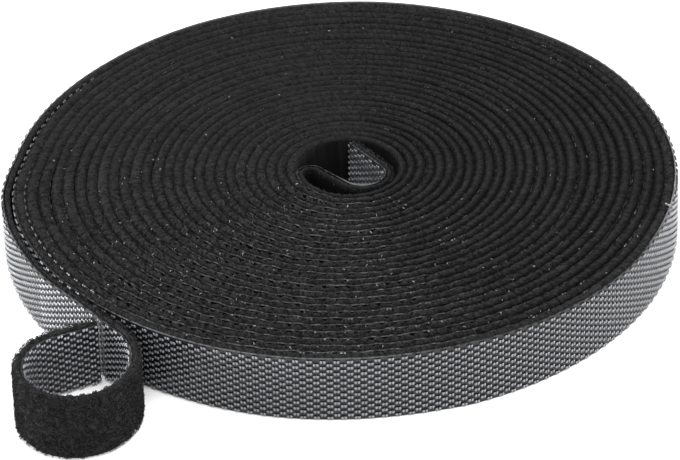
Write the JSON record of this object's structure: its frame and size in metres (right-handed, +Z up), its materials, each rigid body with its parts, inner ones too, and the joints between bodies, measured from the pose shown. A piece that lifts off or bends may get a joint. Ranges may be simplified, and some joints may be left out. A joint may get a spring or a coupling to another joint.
{
  "type": "hook and loop tape roll",
  "caption": "Flat coreless roll of narrow two-sided hook and loop tape, hooks out and pile in, with a folded inner end and a curled free end that peels away from the roll.",
  "frame": {"origin": "under the middle of the part's box, on the surface that the roll lies on", "axes": "+Z up along the roll's axis, -Y towards the front of the picture, with the curled tail at the front left"},
  "size_m": [0.0952, 0.1008, 0.01],
  "materials": {
    "hook_film": "dark moulded film with a satin sheen on its hooks",
    "loop_pile": "black brushed pile"
  },
  "bodies": {
    "roll": {"wound_hook_web": "hook_film", "wound_loop_web": "loop_pile"},
    "inner_tip": {"inner_tip_hook_web": "hook_film", "inner_tip_loop_web": "loop_pile"},
    "tail_lead": {"tail_lead_hook_web": "hook_film", "tail_lead_loop_web": "loop_pile"},
    "curl_1": {"curl_1_hook_web": "hook_film", "curl_1_loop_web": "loop_pile"},
    "curl_2": {"curl_2_hook_web": "hook_film", "curl_2_loop_web": "loop_pile"},
    "curl_3": {"curl_3_hook_web": "hook_film", "curl_3_loop_web": "loop_pile"},
    "curl_4": {"curl_4_hook_web": "hook_film", "curl_4_loop_web": "loop_pile"},
    "curl_5": {"curl_5_hook_web": "hook_film", "curl_5_loop_web": "loop_pile"}
  },
  "joints": [
    {"name": "inner_end_flex", "type": "hinge", "parent": "roll", "child": "inner_tip", "pos_m": [0.00524, 0.00396, 0.005], "axis": [0, 0, 1], "range_deg": [0, 20], "stiffness_Nm_per_rad": 0.0001},
    {"name": "tail_peel", "type": "hinge", "parent": "roll", "child": "tail_lead", "pos_m": [-0.03689, -0.02809, 0.005], "axis": [0, 0, -1], "range_deg": [0, 60], "stiffness_Nm_per_rad": 0.0001},
    {"name": "curl_open", "type": "hinge", "parent": "tail_lead", "child": "curl_1", "pos_m": [-0.02775, -0.03874, 0.005], "axis": [0, 0, 1], "range_deg": [0, 54], "stiffness_Nm_per_rad": 0.0001},
    {"name": "curl_open_2", "type": "hinge", "parent": "curl_1", "child": "curl_2", "pos_m": [-0.02991, -0.04765, 0.005], "axis": [0, 0, 1], "range_deg": [0, 54]},
    {"name": "curl_open_3", "type": "hinge", "parent": "curl_2", "child": "curl_3", "pos_m": [-0.0365, -0.05036, 0.005], "axis": [0, 0, 1], "range_deg": [0, 54]},
    {"name": "curl_open_4", "type": "hinge", "parent": "curl_3", "child": "curl_4", "pos_m": [-0.04256, -0.04662, 0.005], "axis": [0, 0, 1], "range_deg": [0, 54]},
    {"name": "curl_open_5", "type": "hinge", "parent": "curl_4", "child": "curl_5", "pos_m": [-0.0431, -0.03952, 0.005], "axis": [0, 0, 1], "range_deg": [0, 54]}
  ],
  "couplings": [
    {"joint": "curl_open_2", "follows": "curl_open", "ratio": 1},
    {"joint": "curl_open_3", "follows": "curl_open", "ratio": 1},
    {"joint": "curl_open_4", "follows": "curl_open", "ratio": 1},
    {"joint": "curl_open_5", "follows": "curl_open", "ratio": 1}
  ]
}
